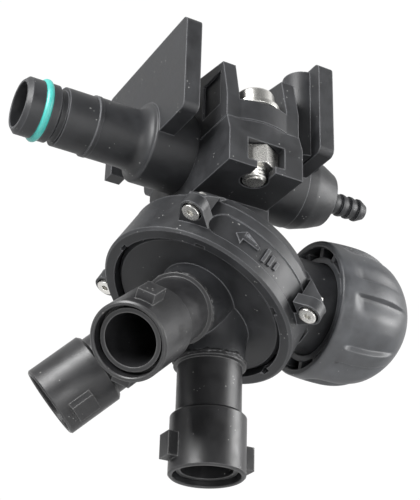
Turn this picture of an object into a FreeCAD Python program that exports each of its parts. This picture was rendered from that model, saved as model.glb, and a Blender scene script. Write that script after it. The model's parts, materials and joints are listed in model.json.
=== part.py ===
import FreeCAD, Part
import math
import os
import re
import Sketcher

# A revolving three-way nozzle valve: a feed pipe clamped in a hinged jaw, a valve with a hand knob, and
# a turret that brings one of three outlets over the valve's port. Millimetres. X runs along the feed pipe
# towards the hose barb, Z is up and the origin is on the feed pipe's axis in the middle of the clamp.

SIZES = {
    # feed pipe, along X
    "pipe_left": -70.5,
    "pipe_right": 29.5,
    "bore_radius": 7.4,
    "barrel_radius": 13.5,
    "barrel_bore": 10.5,
    "barrel_left": -28.6,
    "barrel_lip": 0.8,
    "tube_radius": 10.0,
    "tube_right": -33.0,
    "tube_left": -46.8,
    "collar_ring_radius": 10.2,
    "collar_ring_width": 1.4,
    "land_radius": 9.7,
    "land_left": -57.0,
    "neck_radius": 8.4,
    "neck_width": 2.6,
    "nose_radius": 9.4,
    "nose_chamfer": 1.3,
    "ring_place": -63.5,
    "ring_section": 1.3,
    "ring_stand": 0.9,
    # side plates on the feed pipe
    "plate_inside": 22.3,
    "plate_thick": 5.5,
    "plate_front": -29.8,
    "plate_back": 27.8,
    "plate_bottom": -2.7,
    "plate_top": 32.5,
    "plate_leg": 5.2,
    "leg_bottom": -0.2,
    "plate_notch_top": 9.0,
    "plate_corner": 2.5,
    "column_place": -18.0,
    "column_radius": 6.4,
    # end cap with hose barb
    "cap_flange": 3.4,
    "cap_radius": 13.2,
    "cap_length": 13.5,
    "cap_face_radius": 9.6,
    "cap_shoulder_radius": 11.5,
    "cap_shoulder": 9.0,
    "cap_plug_length": 9.0,
    "barb_stem": 3.2,
    "barb_radius": 4.0,
    "barb_pitch": 3.4,
    "barb_bore": 2.0,
    "barb_root": 3.2,
    "plug_clearance": 0.08,
    "small_ring_section": 0.9,
    # clamp
    "block_half": 13.3,
    "block_front": -33.2,
    "block_back": 17.0,
    "block_bottom": -18.9,
    "parting": -1.8,
    "bevel_back": 1.9,
    "bevel_down": 5.8,
    "cradle_clearance": 0.05,
    "jaw_gap": 0.3,
    "bolt_place": -25.7,
    "bolt_radius": 3.95,
    "bolt_hole": 4.6,
    "bolt_length": 27.0,
    "head_radius": 6.3,
    "head_height": 5.2,
    "socket_depth": 3.4,
    "key_socket": 3.4,
    "washer_radius": 8.0,
    "washer_thick": 1.6,
    "nut_flats": 13.0,
    "nut_height": 6.6,
    "nut_top": -9.3,
    "window_half": 6.65,
    "window_top": -9.0,
    "window_bottom": -16.5,
    "slot_half": 3.3,
    "ear_thick": 4.6,
    "ear_top": 23.1,
    "ear_front": -31.0,
    "ear_step": 7.0,
    "ear_slope": 3.0,
    "bar_top": 5.8,
    "bar_radius": 21.0,
    "bar_bulge": -33.0,
    "arch_thick": 5.0,
    "hinge_y": 21.5,
    "hinge_z": 1.0,
    "hinge_pin_radius": 2.5,
    "hinge_eye_radius": 5.2,
    "hinge_clearance": 0.06,
    "knuckle_half": 6.0,
    # inlet between clamp and barrel
    "spigot_radius": 5.0,
    "spigot_bore": 3.2,
    "spigot_top": -8.6,
    "spigot_clearance": 0.1,
    "seal_section": 0.7,
    "seal_place": -11.0,
    # turret side: distances along the turret axis from its apex
    "apex_z": -44.8,
    "turret_tilt": 30.0,
    "housing_front": -5.5,
    "housing_back": -11.0,
    "housing_radius": 32.6,
    "housing_back_radius": 28.9,
    "housing_hub_radius": 24.0,
    "housing_hub_depth": 5.0,
    "seat_face": -0.1,
    "turret_pocket": 31.4,
    "flange_radius": 31.0,
    "flange_front": 6.0,
    "disc_radius": 28.6,
    "disc_front": 10.0,
    "collar_radius": 33.1,
    "collar_gap": 0.3,
    "collar_front": 11.5,
    "collar_bore": 29.2,
    "collar_notch": 30.3,
    "notch_half": 1.6,
    "lip_back": 6.3,
    "panel_floor": 32.3,
    "panel_from": 56.0,
    "panel_to": 114.0,
    "panel_low": -1.8,
    "panel_high": 7.4,
    "screw_spread": 38.5,
    "lug_circle": 37.8,
    "lug_radius": 4.0,
    "lug_front": 6.7,
    "lug_back": 2.7,
    "lug_flare": 9.0,
    "boss_half": 2.7,
    "boss_reach": 40.9,
    "screw_radius": 1.7,
    "screw_head": 2.8,
    "screw_head_front": 7.5,
    "screw_head_back": 4.6,
    "screw_clearance": 0.15,
    "screw_back": -0.6,
    # outlets: distances along each outlet's axis from the apex
    "outlet_cone": 30.0,
    "stub_start": 8.0,
    "stub_root": 13.2,
    "stub_cone_end": 22.0,
    "stub_radius": 11.0,
    "stub_end": 26.5,
    "stub_bore_depth": 6.0,
    "outlet_tube": 10.1,
    "sleeve_start": 44.0,
    "outlet_end": 63.1,
    "sleeve_radius": 11.75,
    "sleeve_chamfer": 0.9,
    "outlet_bore": 7.9,
    "inner_ring": 9.3,
    "sleeve_bore": 10.3,
    "mouth_depth": 5.0,
    "inner_ring_drop": 1.9,
    "bayonet_radius": 14.7,
    "bayonet_start": 52.0,
    "bayonet_length": 7.5,
    "bayonet_half": 2.8,
    "weld_radius": 11.3,
    "weld_width": 1.6,
    "port_circle": 9.5,
    "port_radius": 3.6,
    "port_depth": 18.0,
    "seal_groove": 1.6,
    # valve with the knob, along X
    "valve_z": -43.4,
    "valve_radius": 15.4,
    "valve_end": 44.0,
    "seat_x": 37.5,
    "annulus_inner": 5.0,
    "annulus_outer": 11.0,
    "annulus_depth": 4.0,
    "chamber_radius": 13.5,
    "diaphragm_radius": 13.3,
    "diaphragm_thick": 1.5,
    "bonnet_wall": 9.6,
    "bonnet_right": 60.0,
    "bonnet_rim": 15.4,
    "follower_radius": 8.8,
    "follower_thick": 2.4,
    "spring_radius": 6.6,
    "spring_wire": 0.7,
    "spring_left": 42.6,
    "thrust_left": 50.0,
    "thrust_thick": 6.0,
    "thrust_radius": 9.3,
    "spindle_radius": 3.8,
    "thread_clearance": 0.15,
    "key_half": 1.4,
    "key_reach": 11.2,
    "knob_rim": 35.3,
    "knob_radius": 23.2,
    "knob_widest": 23.8,
    "knob_widest_x": 45.0,
    "knob_tip": 72.4,
    "knob_wall": 2.4,
    "knob_sleeve": 15.7,
    "knob_sleeve_wall": 2.2,
    "knob_sleeve_end": 55.0,
    "knob_web_start": 37.5,
    "web_half": 0.9,
    "rib_reach": 24.6,
    "rib_half": 2.2,
    "snap_place": 48.0,
    "snap_section": 0.9,
    "ball_radius": 2.5,
    "ball_circle": 24.5,
    "detent_wire": 0.5,
    "dimple_depth": 0.7,
}

doc = FreeCAD.newDocument("nozzle_valve")
sheet = doc.addObject("Spreadsheet::Sheet", "Sizes")
for row, (name, size) in enumerate(SIZES.items(), start=1):
    sheet.set("A%d" % row, name)
    sheet.set("B%d" % row, str(size))
    sheet.setAlias("B%d" % row, name)
doc.recompute()

NAME = re.compile(r"\b(%s)\b" % "|".join(sorted(SIZES, key=len, reverse=True)))


def linked(text):
    """Turn size names into references to the sheet."""
    return NAME.sub(r"Sizes.\1", str(text))


def value(text):
    """Work out a size expression as a plain number."""
    result = sheet.evalExpression(linked(text))
    return float(getattr(result, "Value", result))


def bind(thing, prop, text):
    thing.setExpression(prop, linked(text))


# Placements of the sloping turret and of the parts that turn on it ------------------------------------

APEX = ("create(<<placement>>; create(<<vector>>; 0; 0; apex_z);"
        " create(<<rotation>>; create(<<vector>>; 0; 1; 0); 180 + turret_tilt))")


def shifted(frame, across, along, up):
    """The same frame moved by an offset in its own directions."""
    return (frame + " * create(<<placement>>; create(<<vector>>; %s; %s; %s);"
            " create(<<rotation>>; create(<<vector>>; 0; 0; 1); 0))" % (across, along, up))


def spun(axis, angle):
    """A turn about X, Y or Z through the local origin."""
    direction = {"x": "1; 0; 0", "y": "0; 1; 0", "z": "0; 0; 1"}[axis]
    return ("create(<<placement>>; create(<<vector>>; 0; 0; 0);"
            " create(<<rotation>>; create(<<vector>>; %s); %s))" % (direction, angle))


def outlet_lean(angle):
    """Local Z along the outlet at this angle; 0 points at the lowest outlet."""
    return spun("z", 180 + angle) + " * " + spun("y", "outlet_cone")


# Building blocks --------------------------------------------------------------------------------------

def origin_plane(body, role):
    for feature in body.Origin.OriginFeatures:
        if feature.Role == role:
            return feature
    raise ValueError(role)


def outline(body, name, role, points):
    """A closed sketch whose corners are bound to the sheet."""
    sketch = body.newObject("Sketcher::SketchObject", name)
    sketch.AttachmentSupport = (origin_plane(body, role), [""])
    sketch.MapMode = "FlatFace"
    corners = [FreeCAD.Vector(value(across), value(up), 0) for across, up in points]
    for index, corner in enumerate(corners):
        following = corners[(index + 1) % len(corners)]
        sketch.addGeometry(Part.LineSegment(corner, following), False)
    for index in range(len(corners)):
        following = (index + 1) % len(corners)
        sketch.addConstraint(Sketcher.Constraint("Coincident", index, 2, following, 1))
    for index, (across, up) in enumerate(points):
        for kind, text, size in (("DistanceX", across, corners[index].x), ("DistanceY", up, corners[index].y)):
            number = sketch.addConstraint(Sketcher.Constraint(kind, -1, 1, index, 1, size))
            sketch.setExpression("Constraints[%d]" % number, linked(text))
    return sketch


def turned(label, points, along="x"):
    """A body of revolution: points are (place along the axis, radius)."""
    body = doc.addObject("PartDesign::Body", label)
    body.Label = label
    doc.recompute()
    if along == "x":
        sketch = outline(body, label + "_profile", "XY_Plane", points)
        axis = "H_Axis"
    else:
        sketch = outline(body, label + "_profile", "XZ_Plane", [(radius, place) for place, radius in points])
        axis = "V_Axis"
    solid = body.newObject("PartDesign::Revolution", label + "_turned")
    solid.Profile = sketch
    solid.ReferenceAxis = (sketch, [axis])
    solid.Angle = 360
    doc.recompute()
    return body


def plate(label, points, low, high):
    """A slab across X whose outline is in the YZ plane."""
    body = doc.addObject("PartDesign::Body", label)
    body.Label = label
    doc.recompute()
    sketch = outline(body, label + "_outline", "YZ_Plane", points)
    slab = body.newObject("PartDesign::Pad", label + "_pad")
    slab.Profile = sketch
    bind(slab, "Length", "(%s) - (%s)" % (high, low))
    bind(body, "Placement.Base.x", low)
    doc.recompute()
    return body


def rod(label, radius, length, at=(0, 0, 0), axis="z"):
    """A cylinder that starts at a point and runs along +X, +Y or +Z."""
    thing = doc.addObject("Part::Cylinder", label)
    bind(thing, "Radius", radius)
    bind(thing, "Height", length)
    turns = {"x": (FreeCAD.Vector(0, 1, 0), 90), "y": (FreeCAD.Vector(1, 0, 0), -90),
             "z": (FreeCAD.Vector(0, 0, 1), 0)}
    thing.Placement = FreeCAD.Placement(FreeCAD.Vector(0, 0, 0), FreeCAD.Rotation(*turns[axis]))
    for letter, text in zip("xyz", at):
        bind(thing, "Placement.Base." + letter, text)
    return thing


def cone(label, low_radius, high_radius, length, start):
    """A cone frustum along local Z."""
    thing = doc.addObject("Part::Cone", label)
    bind(thing, "Radius1", low_radius)
    bind(thing, "Radius2", high_radius)
    bind(thing, "Height", length)
    bind(thing, "Placement.Base.z", start)
    return thing


def block(label, low, high):
    """A box between two corners."""
    thing = doc.addObject("Part::Box", label)
    for prop, below, above in zip(("Length", "Width", "Height"), low, high):
        bind(thing, prop, "(%s) - (%s)" % (above, below))
    for letter, text in zip("xyz", low):
        bind(thing, "Placement.Base." + letter, text)
    return thing


def ring(label, middle, section, at=(0, 0, 0), axis="z"):
    """An O-ring."""
    thing = doc.addObject("Part::Torus", label)
    bind(thing, "Radius1", middle)
    bind(thing, "Radius2", section)
    if axis == "x":
        thing.Placement = FreeCAD.Placement(FreeCAD.Vector(0, 0, 0), FreeCAD.Rotation(FreeCAD.Vector(0, 1, 0), 90))
    for letter, text in zip("xyz", at):
        bind(thing, "Placement.Base." + letter, text)
    return thing


def hexagon(label, across_flats, length, at, turn=0):
    """A six-sided prism along Z; turn 0 has a corner towards -Y."""
    thing = doc.addObject("Part::Prism", label)
    thing.Polygon = 6
    bind(thing, "Circumradius", "(%s) / sqrt(3)" % across_flats)
    bind(thing, "Height", length)
    thing.Placement = FreeCAD.Placement(FreeCAD.Vector(0, 0, 0), FreeCAD.Rotation(FreeCAD.Vector(0, 0, 1), 30 + turn))
    for letter, text in zip("xyz", at):
        bind(thing, "Placement.Base." + letter, text)
    return thing


def joined(label, pieces):
    if len(pieces) == 1:
        return pieces[0]
    whole = doc.addObject("Part::MultiFuse", label)
    whole.Shapes = pieces
    whole.Refine = True
    return whole


def drilled(label, solid, tools):
    whole = doc.addObject("Part::Cut", label)
    whole.Base = solid
    whole.Tool = joined(label + "_tools", tools)
    return whole


def placed(thing, expression):
    bind(thing, "Placement", expression)
    return thing


FINISHED = []


def finish(label, thing):
    """Mark an object as one of the assembly's pieces."""
    thing.Label = label
    FINISHED.append(thing)
    return thing


# Feed pipe --------------------------------------------------------------------------------------------

def make_feed_pipe():
    floor = "nose_radius + ring_stand - 2 * ring_section"
    rise = "(barrel_radius - barrel_lip - tube_radius)"
    run = "(barrel_left - tube_right)"
    fillet = [("tube_right + %s * sin(%d)" % (run, turn), "tube_radius + %s * (1 - cos(%d))" % (rise, turn))
              for turn in (20, 40, 60, 75, 90)]
    lip = [("barrel_left + barrel_lip * (1 - cos(%d))" % turn, "barrel_radius - barrel_lip * (1 - sin(%d))" % turn)
           for turn in (30, 60, 90)]
    tube = turned("pipe_tube", [
        ("pipe_left", "bore_radius"),
        ("pipe_left", "nose_radius - nose_chamfer"),
        ("pipe_left + nose_chamfer", "nose_radius"),
        ("ring_place - ring_section", "nose_radius"),
        ("ring_place - ring_section", floor),
        ("ring_place + ring_section", floor),
        ("ring_place + ring_section", "nose_radius"),
        ("land_left - neck_width", "nose_radius"),
        ("land_left - neck_width + 0.8", "neck_radius"),
        ("land_left", "neck_radius"),
        ("land_left", "land_radius"),
        ("tube_left", "land_radius"),
        ("tube_left", "collar_ring_radius"),
        ("tube_left + collar_ring_width", "collar_ring_radius"),
        ("tube_left + collar_ring_width", "tube_radius"),
        ("tube_right", "tube_radius"),
    ] + fillet + lip + [
        ("pipe_right", "barrel_radius"),
        ("pipe_right", "barrel_bore"),
        ("-plate_inside", "barrel_bore"),
        ("-plate_inside - 3", "bore_radius"),
    ])
    side_outline = [
        ("plate_front", "plate_bottom"),
        ("plate_back", "plate_bottom"),
        ("plate_back", "plate_top"),
        ("plate_front", "plate_top"),
    ]
    pieces = [tube]
    for side, low, high in (("left", "-plate_inside - plate_thick", "-plate_inside"),
                            ("right", "plate_inside", "plate_inside + plate_thick")):
        slab = plate("side_plate_" + side, side_outline, low, high)
        corners = [number + 1 for number, edge in enumerate(slab.Shape.Edges)
                   if abs(edge.Vertexes[0].X - edge.Vertexes[-1].X) > 1]
        rounded = doc.addObject("Part::Fillet", "rounded_plate_" + side)
        rounded.Base = slab
        rounded.Edges = [(number, value("plate_corner"), value("plate_corner")) for number in corners]
        notch = block("leg_notch_" + side,
                      ("%s - 1" % low, "barrel_radius - 1", "plate_bottom - 1"),
                      ("%s + 1" % high, "plate_back - plate_leg", "plate_notch_top"))
        foot = block("leg_foot_" + side, ("%s - 1" % low, "plate_back - plate_leg - 1", "plate_bottom - 1"),
                     ("%s + 1" % high, "plate_back + 1", "leg_bottom"))
        pieces.append(drilled("notched_plate_" + side, rounded, [notch, foot]))
    pieces.append(rod("column", "column_radius", "plate_top - plate_bottom - 2",
                      ("plate_inside + 0.5", "column_place", "plate_bottom + 1")))
    whole = joined("pipe_solid", pieces)
    clear_bore = rod("plate_bore", "bore_radius", "-plate_inside - pipe_left", ("pipe_left", 0, 0), "x")
    clear_barrel = rod("barrel_clear", "barrel_bore", "pipe_right + plate_inside", ("-plate_inside", 0, 0), "x")
    inlet = rod("inlet_hole", "spigot_radius + spigot_clearance", "barrel_radius + 1", (0, 0, "-barrel_radius - 1"))
    finish("feed_pipe", drilled("feed_pipe", whole, [clear_bore, clear_barrel, inlet]))
    finish("plug_o_ring", ring("plug_o_ring", "nose_radius + ring_stand - ring_section", "ring_section",
                               ("ring_place", 0, 0), "x"))


def make_end_cap():
    """The cap plugs into the barrel and carries the bleed hose barb."""
    groove = "pipe_right - cap_plug_length + 4"
    points = [
        ("pipe_right - cap_plug_length", "barb_bore"),
        ("pipe_right - cap_plug_length", "barrel_bore - plug_clearance"),
        (groove + " - small_ring_section", "barrel_bore - plug_clearance"),
        (groove + " - small_ring_section", "barrel_bore - 2 * small_ring_section"),
        (groove + " + small_ring_section", "barrel_bore - 2 * small_ring_section"),
        (groove + " + small_ring_section", "barrel_bore - plug_clearance"),
        ("pipe_right", "barrel_bore - plug_clearance"),
        ("pipe_right", "cap_radius"),
        ("pipe_right + cap_flange", "cap_radius"),
        ("pipe_right + cap_shoulder", "cap_shoulder_radius"),
        ("pipe_right + cap_length", "cap_face_radius"),
        ("pipe_right + cap_length", "barb_stem"),
    ]
    start = "pipe_right + cap_length + barb_root"
    for turn in range(4):
        points.append((start + " + %d * barb_pitch" % turn, "barb_stem"))
        points.append((start + " + %d * barb_pitch + 0.01" % turn, "barb_radius"))
        points.append((start + " + %d * barb_pitch + 0.8" % turn, "barb_radius"))
    points.append((start + " + 4 * barb_pitch", "barb_stem - 0.5"))
    points.append((start + " + 4 * barb_pitch", "barb_bore"))
    finish("end_cap", turned("end_cap", points))
    finish("end_cap_o_ring", ring("end_cap_o_ring", "barrel_bore - small_ring_section - 0.02",
                                  "small_ring_section - 0.02", (groove, 0, 0), "x"))


# Clamp ------------------------------------------------------------------------------------------------

def make_clamp():
    middle = "bolt_place"
    bolt = [
        rod("bolt_shank", "bolt_radius", "bolt_length", (0, middle, "bar_top + washer_thick - bolt_length + 0.05")),
        rod("bolt_head", "head_radius", "head_height", (0, middle, "bar_top + washer_thick + 0.05")),
    ]
    socket = hexagon("bolt_socket", "2 * key_socket", "head_height", (0, middle, "bar_top + washer_thick + head_height - socket_depth"))
    finish("clamp_bolt", drilled("clamp_bolt", joined("bolt_solid", bolt), [socket]))
    washer = rod("washer_disc", "washer_radius", "washer_thick", (0, middle, "bar_top"))
    washer_hole = rod("washer_hole", "bolt_radius + 0.25", "washer_thick + 2", (0, middle, "bar_top - 1"))
    finish("clamp_washer", drilled("clamp_washer", washer, [washer_hole]))
    nut = hexagon("nut_hexagon", "nut_flats", "nut_height", (0, middle, "nut_top - nut_height"))
    crown = doc.addObject("Part::Sphere", "nut_crown")
    bind(crown, "Radius", "nut_flats * 0.64")
    bind(crown, "Placement.Base.y", middle)
    bind(crown, "Placement.Base.z", "nut_top - nut_height / 2")
    chamfered = doc.addObject("Part::Common", "nut_chamfered")
    chamfered.Base = nut
    chamfered.Tool = crown
    thread = rod("nut_thread", "bolt_radius + thread_clearance", "nut_height + 2",
                 (0, middle, "nut_top - nut_height - 1"))
    finish("clamp_nut", drilled("clamp_nut", chamfered, [thread]))

    # upper jaw: two ears, a front bar with a round front, an arch over the pipe and the hinge eyes
    ear_outline = [
        ("ear_front", "parting + jaw_gap"),
        ("hinge_y", "parting + jaw_gap"),
        ("hinge_y", "hinge_z + hinge_eye_radius"),
        ("barrel_radius + 1.5", "barrel_radius * 0.62 + arch_thick"),
        ("-12.6", "ear_top"),
        ("ear_front + ear_slope", "ear_top - 2.5"),
        ("ear_front", "ear_step"),
    ]
    left_ear = plate("ear_left", ear_outline, "-block_half", "-block_half + ear_thick")
    right_ear = plate("ear_right", ear_outline, "block_half - ear_thick", "block_half")
    bar_round = rod("bar_round", "bar_radius", "bar_top - parting - jaw_gap",
                    (0, "bar_bulge + bar_radius", "parting + jaw_gap"))
    bar_limit = block("bar_limit", ("-block_half", "bar_bulge - 1", "parting + jaw_gap - 1"),
                      ("block_half", "-barrel_radius", "bar_top + 1"))
    bar = doc.addObject("Part::Common", "bar")
    bar.Base = bar_round
    bar.Tool = bar_limit
    arch = rod("arch_outside", "barrel_radius + arch_thick", "2 * block_half", ("-block_half", 0, 0), "x")
    arch_limit = block("arch_limit", ("-block_half", "-barrel_radius - arch_thick", "parting + jaw_gap"),
                       ("block_half", "barrel_radius + arch_thick", "barrel_radius + arch_thick"))
    arch_half = doc.addObject("Part::Common", "arch_half")
    arch_half.Base = arch
    arch_half.Tool = arch_limit
    eye = rod("jaw_eye", "hinge_eye_radius", "2 * block_half", ("-block_half", "hinge_y", "hinge_z"), "x")
    solid = joined("jaw_solid", [left_ear, right_ear, bar, arch_half, eye])
    knuckle_space = rod("knuckle_space", "hinge_eye_radius + 0.5", "2 * knuckle_half + 0.6",
                        ("-knuckle_half - 0.3", "hinge_y", "hinge_z"), "x")
    knuckle_room = block("knuckle_room", ("-knuckle_half - 0.3", "barrel_radius + 1.6", "parting - 1"),
                         ("knuckle_half + 0.3", "hinge_y", "hinge_z"))
    pipe_room = rod("pipe_room", "barrel_radius + cradle_clearance + 0.15", "2 * block_half + 2",
                    ("-block_half - 1", 0, 0), "x")
    bolt_room = rod("bolt_room", "bolt_hole", "bar_top + 6", (0, "bolt_place", "parting - 1"))
    pin_room = rod("pin_room", "hinge_pin_radius + hinge_clearance", "2 * block_half + 2",
                   ("-block_half - 1", "hinge_y", "hinge_z"), "x")
    below = block("below_parting", ("-block_half - 1", "bar_bulge - 2", "block_bottom"),
                  ("block_half + 1", "hinge_y - hinge_eye_radius - 2", "parting + jaw_gap"))
    ear_recess = block("ear_recess", ("-block_half - 1", "-26.5", 5), ("-block_half + 0.8", -15, 18))
    finish("upper_jaw", drilled("upper_jaw", solid, [knuckle_space, knuckle_room, pipe_room, bolt_room, pin_room,
                                                    below, ear_recess]))
    finish("jaw_hinge_pin", rod("jaw_hinge_pin", "hinge_pin_radius", "2 * block_half",
                                ("-block_half", "hinge_y", "hinge_z"), "x"))


# Valve body -------------------------------------------------------------------------------------------

SCREW_ANGLES = ("90 - screw_spread", "90 + screw_spread", "270 - screw_spread", "270 + screw_spread")


def screw_place(angle, up):
    """The point on the screw circle at this angle, in the turret's frame."""
    return "lug_circle * cos(%s)" % angle, "lug_circle * sin(%s)" % angle, up


def lug_centres(label, radius, low, high):
    """Four cylinders on the screw circle, in the turret's frame."""
    return [rod("%s_%d" % (label, number), radius, "(%s) - (%s)" % (high, low), screw_place(angle, low))
            for number, angle in enumerate(SCREW_ANGLES)]


def screw_bosses():
    """Four sloping ribs on the housing's edge that the collar's screws bite into."""
    outside = "collar_radius + 2 * collar_gap"
    side = [
        ("housing_back_radius - 1", "housing_back"),
        ("housing_back_radius + 2.6", "housing_back + 2.4"),
        ("boss_reach", "lug_back - 1"),
        ("boss_reach", "lug_back - 0.1"),
        (outside, "lug_back - 0.1"),
        (outside, "housing_front - collar_gap"),
        ("housing_back_radius - 1", "housing_front - collar_gap"),
    ]
    bosses = []
    for number, angle in enumerate(SCREW_ANGLES):
        rib = plate("screw_boss_%d" % number, side, "-boss_half", "boss_half")
        bosses.append(placed(rib, shifted(spun("z", angle + " - 90"), "-boss_half", 0, 0)))
    return bosses


def lug_flares():
    """Four wedges that blend the collar's screw lugs into its wall."""
    foot = "(collar_radius - 0.6)"
    corners = [
        ("-%s * sin(lug_flare)" % foot, "%s * cos(lug_flare)" % foot),
        ("%s * sin(lug_flare)" % foot, "%s * cos(lug_flare)" % foot),
        ("lug_radius - 0.1", "lug_circle + 0.4"),
        ("-lug_radius + 0.1", "lug_circle + 0.4"),
    ]
    wedges = []
    for number, angle in enumerate(SCREW_ANGLES):
        wedge = plate("lug_flare_%d" % number, corners, "lug_back", "lug_front")
        outward = spun("z", angle + " + 180") + " * " + spun("y", -90)
        wedges.append(placed(wedge, shifted(outward, "lug_back", 0, 0)))
    return wedges


def make_valve_body():
    lower_outline = [
        ("block_front", "block_bottom"),
        ("block_back", "block_bottom"),
        ("hinge_y", "hinge_z - hinge_eye_radius - 3"),
        ("hinge_y", "hinge_z - hinge_eye_radius - 0.6"),
        ("block_back - 1", "parting - 0.3"),
        ("block_front + bevel_back", "parting"),
        ("block_front", "parting - bevel_down"),
    ]
    jaw = plate("lower_jaw", lower_outline, "-block_half", "block_half")
    knuckle = rod("knuckle", "hinge_eye_radius - 0.2", "2 * knuckle_half", ("-knuckle_half", "hinge_y", "hinge_z"), "x")
    knuckle_root = block("knuckle_root", ("-knuckle_half", "barrel_radius + 2.2", "hinge_z - hinge_eye_radius - 3"),
                         ("knuckle_half", "hinge_y + hinge_eye_radius - 0.4", "hinge_z"))
    neck = block("neck", (-11, -11.5, -40), (14, 11.5, "block_bottom + 1"))
    neck_round = rod("neck_round", "valve_radius", "valve_end + 6", ("-6", 0, "valve_z"), "x")
    bulge_round = rod("bulge_round", "bar_radius", "bevel_down", (0, "bar_bulge + bar_radius", "parting - bevel_down"))
    bulge_limit = block("bulge_limit", ("-block_half + ear_thick", "bar_bulge - 1", "parting - bevel_down - 1"),
                        ("block_half - ear_thick", "bolt_place", "parting + 1"))
    bulge = doc.addObject("Part::Common", "bulge")
    bulge.Base = bulge_round
    bulge.Tool = bulge_limit
    body = [jaw, knuckle, knuckle_root, neck, neck_round, bulge]

    housing = cone("housing", "housing_back_radius", "housing_radius", "housing_front - housing_back", "housing_back")
    hub = cone("housing_hub", "housing_hub_radius - 5", "housing_back_radius - 2", "housing_hub_depth",
               "housing_back - housing_hub_depth")
    seat = rod("seat", "turret_pocket - 1", "seat_face - housing_front + 0.5", (0, 0, "housing_front - 0.5"))
    shell = [housing, hub, seat] + screw_bosses()
    body.append(placed(joined("housing_solid", shell), APEX))

    cuts = [
        rod("cradle", "barrel_radius + cradle_clearance", "2 * block_half + 2", ("-block_half - 1", 0, 0), "x"),
        rod("bolt_way", "bolt_hole", "-block_bottom", (0, "bolt_place", "block_bottom - 1")),
        block("nut_window", ("-window_half", "block_front - 1", "window_bottom"),
              ("window_half", "bolt_place + 7.6", "window_top")),
        block("nut_slot", ("-slot_half", "block_front - 1", "block_bottom - 1"),
              ("slot_half", "bolt_place + slot_half", "window_bottom + 1")),
        rod("knuckle_bore", "hinge_pin_radius + hinge_clearance", "2 * block_half", ("-block_half", "hinge_y", "hinge_z"),
            "x"),
        rod("chamber", "chamber_radius", "valve_end - seat_x + 1", ("seat_x", 0, "valve_z"), "x"),
        drilled("annulus", rod("annulus_outside", "annulus_outer", "annulus_depth", ("seat_x - annulus_depth", 0, "valve_z"),
                               "x"),
                [rod("annulus_inside", "annulus_inner", "annulus_depth + 2",
                     ("seat_x - annulus_depth - 1", 0, "valve_z"), "x")]),
        rod("seat_way", "port_radius", "seat_x - 9", ("10", 0, "valve_z"), "x"),
        rod("feed_way", "spigot_bore", "spigot_top - valve_z", (0, 0, "valve_z + 9")),
        rod("cross_way", "2.6", "seat_x - 2", ("-1", 0, "valve_z + 8.2"), "x"),
    ]
    port = rod("port_way", "port_radius", "12", ("-port_circle", 0, "-10"))
    port_sink = rod("port_sink", "port_radius + 2 * seal_groove", "2.2", ("-port_circle", 0, "seat_face - 2"))
    cuts.append(placed(joined("port_group", [port, port_sink]), APEX))
    turret_room = drilled("turret_room",
                          rod("turret_room_outside", "collar_radius + collar_gap", "50", (0, 0, "housing_front")),
                          [rod("turret_room_inside", "turret_pocket - 1", "seat_face - housing_front + 1",
                               (0, 0, "housing_front - 1"))])
    detent = rod("detent_hole", "ball_radius + 0.15", "9", ("ball_circle", 0, "seat_face - 9"))
    ring_groove = drilled("ring_groove",
                          rod("ring_groove_outside", "22.6", "2.2", (0, 0, "seat_face - 2")),
                          [rod("ring_groove_inside", "19.4", "5", (0, 0, "seat_face - 4"))])
    screw_holes = lug_centres("housing_screw_hole", "screw_radius + screw_clearance", "screw_back - 12", "lug_back + 1")
    cuts.append(placed(joined("housing_cuts", [turret_room, detent, ring_groove] + screw_holes), APEX))
    spigot = rod("spigot", "spigot_radius", "spigot_top + 18", (0, 0, "-18"))
    spigot_ring_room = drilled("spigot_ring_room",
                               rod("spigot_ring_outside", "spigot_radius + 1", "2 * seal_section",
                                   (0, 0, "seal_place - seal_section")),
                               [rod("spigot_ring_inside", "spigot_radius + spigot_clearance - 2 * seal_section", "2 * seal_section + 2",
                                    (0, 0, "seal_place - seal_section - 1"))])
    spigot_bore = rod("spigot_bore_tool", "spigot_bore", "20", (0, 0, "-20"))
    main = drilled("valve_main", joined("valve_solid", body), cuts)
    spigot_done = drilled("spigot_done", spigot, [spigot_ring_room, spigot_bore])
    finish("valve_body", joined("valve_body", [main, spigot_done]))
    finish("inlet_seal", ring("inlet_seal", "spigot_radius + spigot_clearance - seal_section", "seal_section - 0.04",
                              (0, 0, "seal_place")))
    finish("port_seal", placed(drilled("port_seal",
                                       rod("port_seal_disc", "port_radius + 2 * seal_groove - 0.1", "1.95",
                                           ("-port_circle", 0, "seat_face - 1.98")),
                                       [rod("port_seal_hole", "port_radius", "4",
                                            ("-port_circle", 0, "seat_face - 3"))]), APEX))
    finish("turret_o_ring", placed(ring("turret_o_ring", "21", "0.95"), shifted(APEX, 0, 0, "seat_face - 1.05")))
    ball = doc.addObject("Part::Sphere", "detent_ball")
    bind(ball, "Radius", "ball_radius")
    finish("detent_ball", placed(ball, shifted(APEX, "ball_circle", 0, "seat_face - ball_radius")))
    finish("detent_spring", coil("detent_spring", "ball_radius - detent_wire - 0.2", "detent_wire", "1.2", "3.0",
                                 shifted(APEX, "ball_circle", 0, "seat_face - 8.35")))


def coil(label, radius, wire, pitch, height, where):
    """A round-wire coil spring along local Z."""
    path = doc.addObject("Part::Helix", label + "_path")
    bind(path, "Pitch", pitch)
    bind(path, "Height", height)
    bind(path, "Radius", radius)
    section = doc.addObject("Part::Circle", label + "_section")
    bind(section, "Radius", wire)
    section.Placement = FreeCAD.Placement(FreeCAD.Vector(0, 0, 0), FreeCAD.Rotation(FreeCAD.Vector(1, 0, 0), 90))
    bind(section, "Placement.Base.x", radius)
    doc.recompute()
    sweep = doc.addObject("Part::Sweep", label)
    sweep.Sections = [section]
    sweep.Spine = (path, ["Edge%d" % (index + 1) for index in range(len(path.Shape.Edges))])
    sweep.Solid = True
    sweep.Frenet = True
    doc.recompute()
    return placed(sweep, where)


# Collar and turret ------------------------------------------------------------------------------------

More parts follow.
